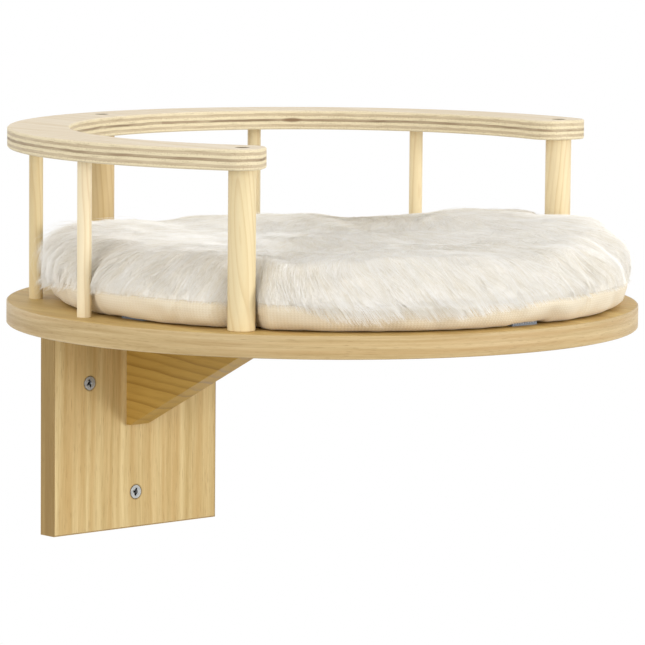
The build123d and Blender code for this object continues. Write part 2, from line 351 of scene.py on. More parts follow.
# Posts and spindles: turned pine dowels, pale and satin. Three thick posts are held by
# a screw at each end, four thin spindles are glued into blind holes.
rail_turn = math.radians(11.75)
end_post_angle = math.radians(111.2)
outer_spindle_angle = math.radians(73.4)
inner_spindle_angle = math.radians(38.5)
post_angles = (-end_post_angle, 0, end_post_angle)


def on_post_circle(angle, height=0.0, reach=0.195):
    """A point over the post circle, its angle counted clockwise from the rail's middle."""
    turned = angle - rail_turn
    return shelf_centre + Vector((math.sin(turned) * reach, math.cos(turned) * reach, height))


# Each dowel's angle, its pith off its axis, the pith's lean and its colour. The colours differ
# partly as pieces of pine do and partly as painted shade: the back post is given a darker colour
# for the shadow that falls on it.
dowels = {
    "post_left_end": (-end_post_angle, 0.011, -0.006, 0.11, (229, 212, 169)),
    "post_back": (0, -0.012, 0.010, 0.06, (213, 188, 138)),
    "post_right_end": (end_post_angle, -0.009, -0.012, -0.09, (233, 215, 174)),
    "spindle_left_outer": (-outer_spindle_angle, 0.012, -0.010, 0.03, (243, 229, 195)),
    "spindle_left_inner": (-inner_spindle_angle, -0.016, -0.004, 0.04, (223, 204, 158)),
    "spindle_right_inner": (inner_spindle_angle, 0.009, 0.013, -0.03, (234, 218, 177)),
    "spindle_right_outer": (outer_spindle_angle, 0.004, -0.015, 0.05, (243, 226, 184)),
}
for name, (angle, pith_x, pith_y, lean, shade) in dowels.items():
    axis = on_post_circle(angle)
    rings = {"Pith X": axis.x + pith_x, "Pith Y": axis.y + pith_y, "Lean": lean}
    rings["Ring width"] = 0.0034
    early = paint(*shade)
    late, fibre = tinted(early, 0.74, 0.6, 0.44), tinted(early, 0.9, 0.84, 0.74)
    wear(name, pine(name + "_pine", upright_grain, rings, early, late, fibre, 0.42, 0.55))

# Guard rail: a C of seven-ply birch plywood, sawn out flat, its arrises eased. Its edges
# show the plies, whose grain runs along and across by turns.
rail_low, rail_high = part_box("guard_rail")[0].z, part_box("guard_rail")[1].z
made, nodes, shader = new_material("rail_plywood", Specular_IOR_Level=0.35)
place = nodes.object_place()
rim = round_grain(nodes, place)
wave = nodes.swing(nodes.noise(place, 26, 3, 0.6), 0.0016)
layer = nodes.between(nodes.plus(nodes.split(place)[2], wave), rail_low, rail_high)
pale_ply, brown_ply, dark_ply = paint(229, 215, 178), paint(192, 173, 142), paint(160, 139, 110)
ply_colours = (pale_ply, brown_ply, pale_ply, dark_ply, pale_ply, brown_ply, pale_ply)
ply_count, glue_line = len(ply_colours), 0.012
stops = []
for index, colour in enumerate(ply_colours):
    stops.append((index / ply_count + glue_line, colour))
    stops.append(((index + 1) / ply_count - glue_line, colour))
plies = nodes.ramp(layer, stops)

# The edge: fibres along and across by turns, pale patches, dark glue in the grain, torn
# spots in the middle ply and one knot
long_fibre = nodes.noise(nodes.stretch(rim, (1, 1, 0.05)), 1500, 2, 0.6)
end_grain = nodes.noise(rim, 1300, 2, 0.6)
crossing = nodes.math("PINGPONG", nodes.times(layer, ply_count), 1)
edge_fibre = nodes.get("ShaderNodeMix", {0: crossing, 2: long_fibre, 3: end_grain})
edge_fibre = nodes.between(edge_fibre, 0.3, 0.7)
patch = nodes.between(nodes.noise(nodes.stretch(rim, (5, 1, 0.35)), 75, 2, 0.6), 0.35, 0.65)
plies = nodes.mix(patch, plies, paint(224, 208, 174), 0.45)
edge = nodes.mix(nodes.between(edge_fibre, 0.5, 0.0, 0.0, 0.55), plies, paint(148, 124, 90))
torn = nodes.between(nodes.noise(nodes.stretch(rim, (1, 1, 0.22)), 60, 2), 0.52, 0.62)
off_middle = nodes.math("ABSOLUTE", nodes.minus(layer, 3.5 / ply_count))
void = nodes.times(nodes.between(off_middle, 0.055, 0.02), torn)
edge = nodes.mix(void, edge, paint(122, 100, 72), 0.75)
knot_place = (0.0965, -0.072, 0.2093)
from_knot = nodes.stretch(nodes.vector("SUBTRACT", place, knot_place), (1, 1, 4.5))
knot = nodes.between(nodes.vector("LENGTH", from_knot), 0.0085, 0.0045, 0.0, 0.8)
edge = nodes.mix(knot, edge, paint(126, 98, 70))

# The two faces: straight grain, and painted shade in the hole where each screw goes in
face_place = nodes.stretch(place, (1, 0.045, 1))
face_lines = nodes.between(nodes.noise(face_place, 1400, 2, 0.6), 0.3, 0.7)
face_bands = nodes.between(nodes.noise(face_place, 120, 2, 0.5, 0.4), 0.3, 0.7)
face = nodes.mix(face_bands, paint(233, 219, 196), paint(222, 204, 172))
face = nodes.mix(nodes.between(face_lines, 0.45, 0.0, 0.0, 0.3), face, paint(212, 184, 136))
normal = nodes.put("ShaderNodeNewGeometry").outputs["Normal"]
flatness = nodes.math("ABSOLUTE", nodes.split(normal)[2])
wood = nodes.mix(nodes.between(flatness, 0.6, 0.9), edge, face)
hole_radius = 0.0048
# Painted shade: the wood is darkened round each screw's axis, where the hole's walls lie in shade
for angle in post_angles:
    away = nodes.stretch(nodes.vector("SUBTRACT", place, on_post_circle(angle)), (1, 1, 0))
    hole_shade = nodes.math("LESS_THAN", nodes.vector("LENGTH", away), hole_radius)
    wood = nodes.mix(hole_shade, wood, paint(92, 76, 56), 0.8)
wood = rubbed(nodes, place, wood, 0.3, (248, 236, 208))
gloss = nodes.between(edge_fibre, 0, 1, 0.62, 0.5)
skin(nodes, shader, wood, gloss, nodes.plus(edge_fibre, face_lines), 0.00008, 0.8)
wear("guard_rail", made)

# Screws: zinc-plated steel with countersunk cross-recess heads, cold-headed and with
# rolled threads. Three go down through the rail into the posts, three up into the posts'
# feet, six join shelf, plate and bracket, and three longer ones go into the wall.


def shown(name, data):
    """An object in the scene for a mesh, a lamp or a camera."""
    made = bpy.data.objects.new(name, data)
    bpy.context.scene.collection.objects.link(made)
    return made


def as_it_looks(piece, name):
    """The piece's mesh with its modifiers worked in."""
    bpy.context.view_layer.update()
    deps = bpy.context.evaluated_depsgraph_get()
    mesh = bpy.data.meshes.new_from_object(
        piece.evaluated_get(deps), preserve_all_data_layers=True, depsgraph=deps
    )
    mesh.name = name
    return mesh


def write_attribute(mesh, name, kind, values):
    """A named value for each vertex of a mesh."""
    made = mesh.attributes.new(name, kind, "POINT")
    if kind == "FLOAT_VECTOR":
        made.data.foreach_set("vector", [part for value in values for part in value])
    else:
        made.data.foreach_set("value", values)


def new_growth(name, inputs):
    """An empty geometry tree: its nodes, what comes in and where to put out.

    Each input has a starting number or the kind of thing that it takes."""
    tree = bpy.data.node_groups.new(name, "GeometryNodeTree")
    tree.is_modifier = True
    for way in ("INPUT", "OUTPUT"):
        tree.interface.new_socket("Geometry", in_out=way, socket_type="NodeSocketGeometry")
    for label, start in inputs.items():
        kind = start if isinstance(start, str) else "Int" if isinstance(start, int) else "Float"
        made = tree.interface.new_socket(label, in_out="INPUT", socket_type="NodeSocket" + kind)
        if kind != start:
            made.default_value = start
    nodes = Nodes(tree)
    return nodes, nodes.put("NodeGroupInput").outputs, nodes.put("NodeGroupOutput").inputs


def named(label, kind="FLOAT"):
    """A value stored on the geometry, for the tree that is being built."""
    made = nodes.put("GeometryNodeInputNamedAttribute", {"Name": label}, data_type=kind)
    return made.outputs["Attribute"]


def moved(geometry, place=None, turn=None, size=None):
    """The geometry sized, turned and moved."""
    inputs = {"Geometry": geometry, "Translation": place, "Rotation": turn, "Scale": size}
    return nodes.get("GeometryNodeTransform", inputs)


def swept(curve, profile, size):
    """A closed solid drawn along a curve."""
    inputs = {"Curve": curve, "Profile Curve": profile, "Scale": size, "Fill Caps": True}
    return nodes.get("GeometryNodeCurveToMesh", inputs)


def joined(*parts):
    """Several geometries as one."""
    made = nodes.put("GeometryNodeJoinGeometry")
    for part in parts:
        nodes.feed(made.inputs[0], part)
    return made.outputs[0]


def carved(operation, first, *others):
    """The first solid united with the others, or with the others cut away."""
    made = nodes.put("GeometryNodeMeshBoolean", operation=operation)
    taken_away = operation == "DIFFERENCE"
    nodes.feed(made.inputs["Mesh 1" if taken_away else "Mesh 2"], first)
    for part in others:
        nodes.feed(made.inputs["Mesh 2"], part)
    return made.outputs[0]


def put_out(geometry, material):
    """Ends the tree that is being built: its geometry as plain mesh in one material."""
    whole = nodes.get("GeometryNodeRealizeInstances", {0: geometry})
    inputs = {"Geometry": whole, "Material": material}
    nodes.feed(result[0], nodes.get("GeometryNodeSetMaterial", inputs))


def grow(name, tree, start, values):
    """Runs a geometry tree on a mesh and gives the plain mesh object that it makes."""
    carrier = shown(name + "_start", start)
    modifier = carrier.modifiers.new(name, "NODES")
    modifier.node_group = tree
    for item in tree.interface.items_tree:
        if item.item_type == "SOCKET" and item.in_out == "INPUT" and item.name in values:
            modifier[item.identifier] = values[item.name]
    mesh = as_it_looks(carrier, name)
    bpy.data.objects.remove(carrier)
    for label in values.get("drop", ()):
        if label in mesh.attributes and not mesh.attributes[label].is_internal:
            mesh.attributes.remove(mesh.attributes[label])
    return shown(name, mesh)


# One screw, its head's flat top at zero and its shank down along -Z, set on each place
nodes, given, result = new_growth("cross_head_screw", {
    "Head radius": 0.004,
    "Head height": 0.0022,
    "Thread radius": 0.00195,
    "Core radius": 0.0014,
    "Neck length": 0.006,
    "Length": 0.04,
    "Tip length": 0.004,
    "Pitch": 0.0018,
    "Zinc": "Material",
})
head_top, head_deep = given["Head radius"], given["Head height"]
crest, core, pitch = given["Thread radius"], given["Core radius"], given["Pitch"]
neck_length, length, tip = given["Neck length"], given["Length"], given["Tip length"]


def frustum(sides, top, bottom, deep, height):
    """A closed cone from its wide top at that height down."""
    inputs = {"Vertices": sides, "Radius Top": top, "Radius Bottom": bottom, "Depth": deep}
    made = nodes.put("GeometryNodeMeshCone", inputs).outputs["Mesh"]
    return moved(made, nodes.join(0, 0, nodes.minus(height, deep)))


# The head with its brim, the plain neck, the core and its point
brim = nodes.times(head_top, 0.08)
neck_radius = nodes.times(crest, 0.8)
head = frustum(32, head_top, neck_radius, head_deep, nodes.times(brim, -1))
disc = frustum(32, nodes.times(head_top, 0.95), head_top, brim, 0)
neck = frustum(24, neck_radius, neck_radius, neck_length, nodes.times(head_deep, -0.5))
shank_length = nodes.minus(nodes.minus(length, tip), head_deep)
shank = frustum(24, core, core, shank_length, nodes.times(head_deep, -1))
point = frustum(24, core, 0.00012, tip, nodes.minus(tip, length))
solid = carved("UNION", head, disc, neck, shank, point)

# The cross recess: two tapering blades and a hollow where they meet
sizes = {"Vertices": 4, "Radius Top": 1, "Radius Bottom": 0.6, "Depth": 1}
blade = nodes.put("GeometryNodeMeshCone", sizes).outputs["Mesh"]
blade = moved(moved(blade, (0, 0, -0.75)), None, (0, 0, math.radians(45)))
recess_deep = nodes.times(head_deep, 0.85)
long_half, short_half = nodes.times(head_top, 0.9), nodes.times(head_top, 0.26)
slots = [
    moved(blade, size=nodes.join(long_half, short_half, recess_deep)),
    moved(blade, size=nodes.join(short_half, long_half, recess_deep)),
]
hollow_top, hollow_end = nodes.times(head_top, 0.4), nodes.times(head_top, 0.1)
hollow = frustum(8, hollow_top, hollow_end, nodes.times(head_deep, 1.1), 0.0001)
solid = carved("DIFFERENCE", solid, *slots, hollow)

# The thread: a ridge wound round the core, narrowing with the point
thread_deep = nodes.minus(length, nodes.plus(neck_length, head_deep))
spiral = nodes.get("GeometryNodeCurveSpiral", {
    "Resolution": 14,
    "Rotations": nodes.over(thread_deep, pitch),
    "Start Radius": core,
    "End Radius": core,
    "Height": thread_deep,
})
x, y, z = nodes.split(nodes.get("GeometryNodeInputPosition"))
narrow = nodes.between(z, 0, tip, 0.06, 1)
drawn_in = nodes.join(nodes.times(x, narrow), nodes.times(y, narrow), nodes.minus(z, length))
spiral = nodes.get("GeometryNodeSetPosition", {"Geometry": spiral, "Position": drawn_in})
ridge = nodes.get("GeometryNodeCurvePrimitiveCircle", {"Resolution": 4, "Radius": 1})
ridge = moved(ridge, size=nodes.join(nodes.minus(crest, core), nodes.times(pitch, 0.28), 1))
along = nodes.put("GeometryNodeSplineParameter").outputs["Factor"]
run_in = nodes.between(along, 0, 0.12, 0.25, 1)
run_out = nodes.between(along, 1, 0.94, 0.1, 1)
thread = swept(spiral, ridge, nodes.math("MINIMUM", run_out, run_in))

# Each screw is turned to the way that its head faces, and its recess to another angle
way = {"Vector": named("facing", "FLOAT_VECTOR")}
facing = nodes.get("FunctionNodeAlignRotationToVector", way, axis="Z")
spin = nodes.get("FunctionNodeEulerToRotation", {0: nodes.join(0, 0, named("spin"))})
turned = nodes.get("FunctionNodeRotateRotation", {0: facing, 1: spin}, rotation_space="LOCAL")
put_out(nodes.get("GeometryNodeInstanceOnPoints", {
    "Points": given["Geometry"],
    "Instance": joined(solid, thread),
    "Rotation": turned,
}), given["Zinc"])
screw_tree = nodes.tree

zinc, nodes, shader = new_material("zinc_plate", Specular_IOR_Level=0.5, Metallic=1.0)
place = nodes.object_place()
cloud = nodes.noise(place, 420, 3, 0.6)
drag = nodes.noise(nodes.stretch(place, (1, 0.15, 1)), 5200, 2, 0.6)
steel = nodes.mix(nodes.between(cloud, 0.3, 0.7), paint(132, 135, 138), paint(166, 166, 161))
# Painted shade: the zinc is darkened where its surface is hemmed in, in the cross recess and round
# the head
recess = {"Distance": 0.0022}
openness_for_painted_shade = nodes.put("ShaderNodeAmbientOcclusion", recess, samples=4).outputs["AO"]
steel = nodes.mix(nodes.between(openness_for_painted_shade, 0.75, 0.3), steel, paint(52, 52, 50))
steel = rubbed(nodes, place, steel, 0.6, (238, 238, 236), 0.00025)
gloss = nodes.plus(nodes.between(cloud, 0.3, 0.7, 0.3, 0.45), nodes.times(drag, 0.12))
skin(nodes, shader, steel, gloss, drag, 0.00002, 0.6)

# By CAD node: the screws' length, the way that their heads face and the places of the heads
under_shelf, over_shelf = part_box("shelf_board")[0].z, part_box("shelf_board")[1].z
plate_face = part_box("wall_plate")[0].y
rail_sunk = rail_high - 0.0008
up, down = Vector((0, 0, 1)), Vector((0, 0, -1))
to_wall, to_room = Vector((0, 1, 0)), Vector((0, -1, 0))
screw_sets = {
    "rail_screws": (0.035, up, [on_post_circle(angle, rail_sunk) for angle in post_angles]),
    "post_foot_screws": (0.04, down, [on_post_circle(angle, under_shelf) for angle in post_angles]),
    "bracket_top_screws": (0.04, up, [(0, y, over_shelf) for y in (-0.05, -0.135)]),
    "bracket_back_screws": (0.04, to_wall, [(0, 0, z) for z in (0.0585, 0.0155)]),
    "plate_top_screws": (0.045, up, [(x, plate_face / 2, over_shelf) for x in (-0.028, 0.028)]),
    "wall_screws": (0.05, to_room, [(x, plate_face, z) for x, z in wall_screw_places]),
}

# The wall screws are stouter than the others, which have the tree's own sizes
wall_screw = {
    "Head radius": 0.005,
    "Head height": 0.0027,
    "Thread radius": 0.00245,
    "Core radius": 0.0017,
    "Neck length": 0.0133,
    "Tip length": 0.007,
    "Pitch": 0.0024,
}
for node_name, (long, facing, places) in screw_sets.items():
    start = bpy.data.meshes.new(node_name + "_places")
    start.from_pydata(places, [], [])
    write_attribute(start, "facing", "FLOAT_VECTOR", [facing] * len(places))
    write_attribute(start, "spin", "FLOAT", [0.3 - 0.25 * k for k in range(len(places))])
    sizes = wall_screw if node_name == "wall_screws" else {}
    values = {**sizes, "Length": long, "Zinc": zinc}
    piece = grow("cross_head_" + node_name, screw_tree, start, values)
    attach(piece, "frame")
    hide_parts(node_name)

# Hook and loop pads: woven grey-blue nylon tape, cut square and glued. The stiff hooks
# are on the shelf, the soft loops under the cushion.
for node_name, pitch, depth, dark, light in (
    ("hook_pads", 1700, 0.0003, (122, 134, 150), (176, 186, 198)),
    ("loop_pads", 900, 0.0004, (138, 148, 162), (190, 197, 206)),
):
    tape, nodes, shader = new_material(node_name + "_tape", Specular_IOR_Level=0.4)
    place = nodes.object_place()
    x, y, z = nodes.split(place)
    rows = [nodes.math("SINE", nodes.times(part, pitch * math.pi)) for part in (x, y)]
    tangle = nodes.noise(place, pitch * 1.7, 3, 0.65, 1.5)
    pile = nodes.plus(nodes.times(nodes.times(*rows), 0.35), tangle)
    pile = nodes.between(pile, 0.25, 0.85)
    colour = nodes.mix(pile, paint(*dark), paint(*light))
    skin(nodes, shader, colour, nodes.between(pile, 0, 1, 0.8, 0.5), pile, depth)
    wear(node_name, tape)

# Cushion: a round pad stuffed with fibre, squeezed between the two end posts. Its lower
# cover is a cream ribbed plush that comes a little way up the side, where it is sewn to
# a top cover of white long-pile fur. It lies loose on the hook and loop pads.
forward = Vector((math.sin(rail_turn), -math.cos(rail_turn), 0))
cushion_middle = shelf_centre + forward * 0.014
cushion_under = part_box("cushion_base")[0].z
seam_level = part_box("cushion_top")[0].z
fur_ceiling = 0.1518

# Half the stuffed pad's section before it is filled, from the middle of its underside
# to the middle of its top: distance out and height
slack_section = [
    (0.0, 0.1005), (0.05, 0.1005), (0.1, 0.1005), (0.15, 0.1005), (0.183, 0.1005), (0.1895, 0.1022),
    (0.195, 0.1062), (0.197, 0.1115), (0.1972, 0.1165), (0.1965, 0.1215), (0.1933, 0.1265),
    (0.187, 0.1303), (0.176, 0.1325), (0.15, 0.1332), (0.1, 0.1335), (0.05, 0.1337), (0.0, 0.1337),
]


def turned_mesh(name, section, turns=128):
    """A closed solid of revolution about the cushion's middle."""
    shape = bmesh.new()
    rings = []
    for out, height in section:
        count = 1 if out == 0 else turns
        ring = []
        for k in range(count):
            x, y = math.cos(math.tau * k / count) * out, math.sin(math.tau * k / count) * out
            ring.append(shape.verts.new(cushion_middle + Vector((x, y, height))))
        rings.append(ring)
    for lower, upper in zip(rings, rings[1:]):
        for k in range(turns):
            around = ((lower, k), (lower, k + 1), (upper, k + 1), (upper, k))
            corners = [ring[number % len(ring)] for ring, number in around]
            shape.faces.new(list(dict.fromkeys(corners)))
    bmesh.ops.recalc_face_normals(shape, faces=shape.faces)
    mesh = bpy.data.meshes.new(name)
    shape.to_mesh(mesh)
    shape.free()
    return mesh


# The empty case is remeshed evenly and filled: cloth under pressure, held at its flat
# underside and lightly along the seam, where no point moves more than 8 mm
most_swelling = 0.008
last_frame = 20
case = shown("slack_case", turned_mesh("slack_case", slack_section))
remesh = case.modifiers.new("even", "REMESH")
remesh.mode = "VOXEL"
remesh.voxel_size = 0.0048
pad_mesh = as_it_looks(case, "stuffed_pad")
bpy.data.objects.remove(case)
pad = shown("stuffed_pad", pad_mesh)
slack = [v.co.copy() for v in pad_mesh.vertices]
held = pad.vertex_groups.new(name="held")
for v in pad_mesh.vertices:
    on_shelf = v.co.z < cushion_under + 0.0008
    outside = (v.co - cushion_middle).xy.length > 0.18
    on_seam = outside and abs(v.co.z - seam_level) < 0.0026
    held.add([v.index], 1.0 if on_shelf else 0.5 if on_seam else 0.0, "REPLACE")
cloth = pad.modifiers.new("filled", "CLOTH")
for label, value in {
    "quality": 4,
    "mass": 0.25,
    "tension_stiffness": 12,
    "compression_stiffness": 12,
    "bending_stiffness": 0.4,
    "shrink_min": -0.045,
    "use_pressure": True,
    "uniform_pressure_force": 4,
    "vertex_group_mass": "held",
}.items():
    setattr(cloth.settings, label, value)
cloth.settings.effector_weights.gravity = 0
cloth.point_cache.frame_start = 1
cloth.point_cache.frame_end = last_frame
for step in range(1, last_frame + 1):
    bpy.context.scene.frame_set(step)
filled = as_it_looks(pad, "filled")
for v, blown in zip(pad_mesh.vertices, filled.vertices):
    swelling = blown.co - slack[v.index]
    v.co = slack[v.index] + swelling.normalized() * min(swelling.length, most_swelling)
bpy.context.scene.frame_set(1)
bpy.data.meshes.remove(filled)
pad.modifiers.remove(cloth)
pad.vertex_groups.remove(held)
soother = pad.modifiers.new("soother", "SMOOTH")
soother.iterations = 5
rounder = pad.modifiers.new("rounder", "SUBSURF")
rounder.levels = rounder.render_levels = 1
pad_mesh = as_it_looks(pad, "pad_fine")
bpy.data.objects.remove(pad)


def eased(value, low, high):
    """0 below low, 1 above high and an even curve between."""
    share = min(max((value - low) / (high - low), 0), 1)
    return share * share * (3 - 2 * share)


# What the photograph shows of its shape, at angles round it in degrees from +X and then
# in metres: how much higher the stuffed rim stands, how much fuller its shoulder is and
# how much higher the fur may stand. Each crease in the top is a line and its depth.
rim_rises = [
    (0, 0.0240), (14, 0.0132), (26, 0.0042), (43, 0.0012), (56, 0.0022), (78, 0.0022),
    (95, 0.0036), (112, 0.0042), (127, 0.0066), (145, 0.0068), (160, 0.0040), (178, 0.0024),
    (200, 0.0030), (222, 0.0008), (245, 0.0032), (268, 0.0014), (292, 0.0035), (306, 0.0060),
    (320, 0.0100), (334, 0.0140), (348, 0.0200), (360, 0.0240),
]
fullness = [
    (0, 0.005), (14, 0.002), (30, 0), (116, 0), (130, 0.006), (156, 0.007), (178, 0), (300, 0),
    (318, 0.005), (338, 0.007), (360, 0.006),
]
ceiling_rises = [(0, 0), (285, 0), (300, 0.004), (334, 0.004), (344, 0), (360, 0)]
creases = [
    ((-0.084, -0.252), (-0.072, -0.269), (-0.054, -0.308), (0.003, -0.283), 0.0010),
    ((-0.120, -0.317), (-0.146, -0.373), (-0.086, -0.350), (-0.052, -0.367), 0.0014),
    ((0.107, -0.111), (0.059, -0.199), (0.027, -0.283), (0.050, -0.297), 0.0011),
    ((-0.030, -0.068), (-0.043, -0.124), (-0.060, -0.183), (-0.078, -0.205), 0.0010),
    ((-0.030, -0.425), (0.026, -0.384), (0.091, -0.348), (0.120, -0.335), 0.0013),
]


def by_angle(table, turn):
    """The value of a table of angles in degrees and values at an angle."""
    for (start, low), (end, high) in zip(table, table[1:]):
        if start <= turn <= end:
            return low + (high - low) * eased(turn, start, end)
    return 0


def degrees_round(out):
    """The angle of a way out from the middle, from 0 to 360 degrees from +X."""
    return math.degrees(math.atan2(out.y, out.x)) % 360


def crease_depth(x, y):
    """How deep the creases are at a point of the top, less than 0 where it swells beside one."""
    depth = 0
    for *points, deepest in creases:
        valley, ridge = 0, 0
        for (ax, ay), (bx, by) in zip(points, points[1:]):
            span = math.hypot(bx - ax, by - ay)
            along = ((x - ax) * (bx - ax) + (y - ay) * (by - ay)) / span
            aside = ((x - ax) * (by - ay) - (y - ay) * (bx - ax)) / span
            past = max(-along, along - span, 0)
            valley = max(valley, math.exp(-((aside / 0.012) ** 2 + (past / 0.02) ** 2)))
            ridge = max(ridge, math.exp(-(((aside - 0.018) / 0.014) ** 2 + (past / 0.02) ** 2)))
        depth += deepest * (valley - 0.5 * ridge)
    return depth


def dent_limit(turn, reach):
    """How far out the pad may reach at an angle, where a post or spindle presses into it."""
    limit = reach
    for angle, width in upright_places:
        axis = on_post_circle(angle) - cushion_middle
        away = axis.xy.length
        offset = (turn - math.atan2(axis.y, axis.x) + math.pi) % math.tau - math.pi
        aside = abs(away * math.sin(offset))
        if abs(offset) > 1 or aside > 2 * width:
            continue
        inner = away * math.cos(offset) - math.sqrt(max(width * width - aside * aside, 0))
        inner = min(inner, away - width * 0.2) if aside > width else inner
        if inner < reach:
            limit = min(limit, inner + (reach - inner) * eased(aside, width, 2 * width))
    return limit


post_press, spindle_press = 0.0102, 0.006
upright_places = [
    (angle, post_press if name.startswith("post") else spindle_press)
    for name, (angle, *_) in dowels.items()
]
pinches = [
    (math.radians(angle), lean)
    for angle, lean in ((197, 0.5), (286, 0.4), (313, -0.7), (330, 0.6))
]
pad_limit, pad_fullest, pressed_zone = 0.197, 0.1972, 0.03
hook_pad_reach = 0.17
middle_sag, rim_sag, deepest_sag = 0.0016, 0.0014, 0.0016
fur_room, bend_over = 0.0062, 0.004
shape = bmesh.new()
shape.from_mesh(pad_mesh)
for v in shape.verts:
    out = v.co - cushion_middle
    turn, reach = math.atan2(out.y, out.x), out.xy.length
    degrees = degrees_round(out)

    # The rim's height, low waves and the creases, from the seam up
    above = eased(v.co.z, seam_level, seam_level + 0.018)
    lumps = Vector((v.co.x * 13, v.co.y * 13, 3.1))
    rise = by_angle(rim_rises, degrees) * eased(reach, 0.08, 0.17)
    waves = 0.0018 * noise.noise(lumps) + 0.0005 * noise.noise(lumps * 2.3)
    rise += waves - crease_depth(v.co.x, v.co.y)
    v.co.z += above * rise

    # The side: drawn in at the seam, pinched and puckered below it, full above it
    pinch = 0
    for at, lean in pinches:
        along = ((turn - at + math.pi) % math.tau - math.pi) * 0.19
        pinch += math.exp(-(((along - lean * (v.co.z - seam_level)) / 0.0028) ** 2))
    seam = math.exp(-(((v.co.z - seam_level) / 0.0022) ** 2))
    low_side = 1 - eased(v.co.z, seam_level + 0.004, seam_level + 0.012)
    low_side *= eased(v.co.z, 0.1012, 0.105)
    drawn_in = 0.0007 * seam
    drawn_in += low_side * (0.0022 * min(pinch, 1) + 0.0011 * noise.noise(v.co * 55))
    wanted = reach - drawn_in * eased(reach, 0.17, 0.185)
    fuller = by_angle(fullness, degrees)
    fuller *= eased(v.co.z, seam_level + 0.002, seam_level + 0.014)
    wanted = max(wanted, min(wanted + fuller * eased(reach, 0.15, 0.18), pad_fullest))

    # What the posts and spindles press back gives way softly
    limit = dent_limit(turn, pad_limit)
    if wanted > limit - pressed_zone:
        past = (wanted - limit + pressed_zone) * pressed_zone
        wanted = limit - pressed_zone + past / (pad_limit - limit + pressed_zone)
    v.co.x = cushion_middle.x + out.x * wanted / max(reach, 1e-6)
    v.co.y = cushion_middle.y + out.y * wanted / max(reach, 1e-6)

    # The underside sags a little between the pads that it lies on, and all round its rim
    sag = middle_sag * eased(reach, 0.1, 0.14)
    for step in range(4):
        pad_turn = step * math.pi / 2
        aside = out.xy - Vector((math.cos(pad_turn), math.sin(pad_turn))) * hook_pad_reach
        sag *= eased(max(abs(aside.x), abs(aside.y)), 0.0125, 0.02)
    if abs(out.x) > 0.03 or out.y > 0:
        sag = max(sag, rim_sag * eased(reach, 0.1825, 0.187))
    v.co.z -= sag * (1 - eased(v.co.z, cushion_under + 0.001, cushion_under + 0.012))

    # The top bends over softly below the height that the fur may reach
    top = fur_ceiling - fur_room + by_angle(ceiling_rises, degrees)
    if v.co.z > top:
        v.co.z = top + bend_over * (1 - math.exp((top - v.co.z) / bend_over))
    v.co.z = max(v.co.z, cushion_under - deepest_sag)


def cut_cover(name, level, keep_above):
    """One of the two covers: the pad above or below a level, closed where it was cut."""
    half = shape.copy()
    everything = half.verts[:] + half.edges[:] + half.faces[:]
    bmesh.ops.bisect_plane(
        half, geom=everything, plane_co=(0, 0, level), plane_no=(0, 0, 1),
        clear_inner=keep_above, clear_outer=not keep_above,
    )
    bmesh.ops.holes_fill(half, edges=[edge for edge in half.edges if edge.is_boundary])
    bmesh.ops.triangulate(half, faces=[face for face in half.faces if len(face.verts) > 4])
    for face in half.faces:
        face.smooth = abs(face.normal.z) < 0.9999 or face.calc_area() < 0.0001
    mesh = bpy.data.meshes.new(name)
    half.to_mesh(mesh)
    half.free()
    return shown(name, mesh)


base_cover = cut_cover("cushion_base_cover", seam_level - 0.00002, False)
fur_cover = cut_cover("cushion_fur_cover", seam_level + 0.00002, True)
shape.free()

# Fur: a white long pile, knitted into the top cover and combed flat. It runs from the
# bed's back right to its front and left and falls over the pad's side, here and there down
# to the shelf. Each lock is a fine tapering strand of three flat sides.
parting = Vector((0.165, -0.075, 0))

# How strongly the fur on the side is swept along it, at angles round the pad
sweeps = [(0, 0), (200, 0), (232, 0.7), (262, 0.7), (300, 0.25), (330, 0), (360, 0)]


def lay_of_fur(place, normal):
    """The direction in which the fur lies at a point of the hide."""
    flow = (place - parting).xy.to_3d()
    flow = flow.normalized() * min(flow.length / 0.03, 1)
    out = (place - cushion_middle).xy.to_3d()
    flow = flow.lerp(out.normalized() * 1.3, eased(out.length, 0.15, 0.188))
    swirl = 0.5 * noise.noise(place * 12) + 0.2 * noise.noise(place * 31)
    flow.rotate(Matrix.Rotation(swirl, 3, "Z"))
    lay = flow - normal * flow.dot(normal)
    down = Vector((0, 0, -1))
    lay += (down - normal * down.dot(normal)) * 0.8
    sideways = Vector((-out.y, out.x, 0)).normalized()
    lay += sideways * by_angle(sweeps, degrees_round(out)) * eased(out.length, 0.155, 0.19)
    return lay.normalized() if lay.length > 1e-5 else Vector((1, 0, 0))


# How far the fur hangs below the seam in metres, and how high it stands as a multiple of
# its loft, at angles round the pad
fringes = [
    (0, 0.003), (118, 0.004), (135, 0.010), (150, 0.008), (162, 0.003), (200, 0.003),
    (212, 0.004), (219, 0.006), (227, 0.018), (248, 0.018), (259, 0.0085), (276, 0.005),
    (300, 0.003), (360, 0.003),
]
fluff_heights = [
    (0, 1.6), (30, 1), (102, 1), (108, 3.4), (124, 5), (140, 5), (158, 4.2), (172, 2),
    (182, 1), (320, 1), (340, 1.8), (360, 1.6),
]

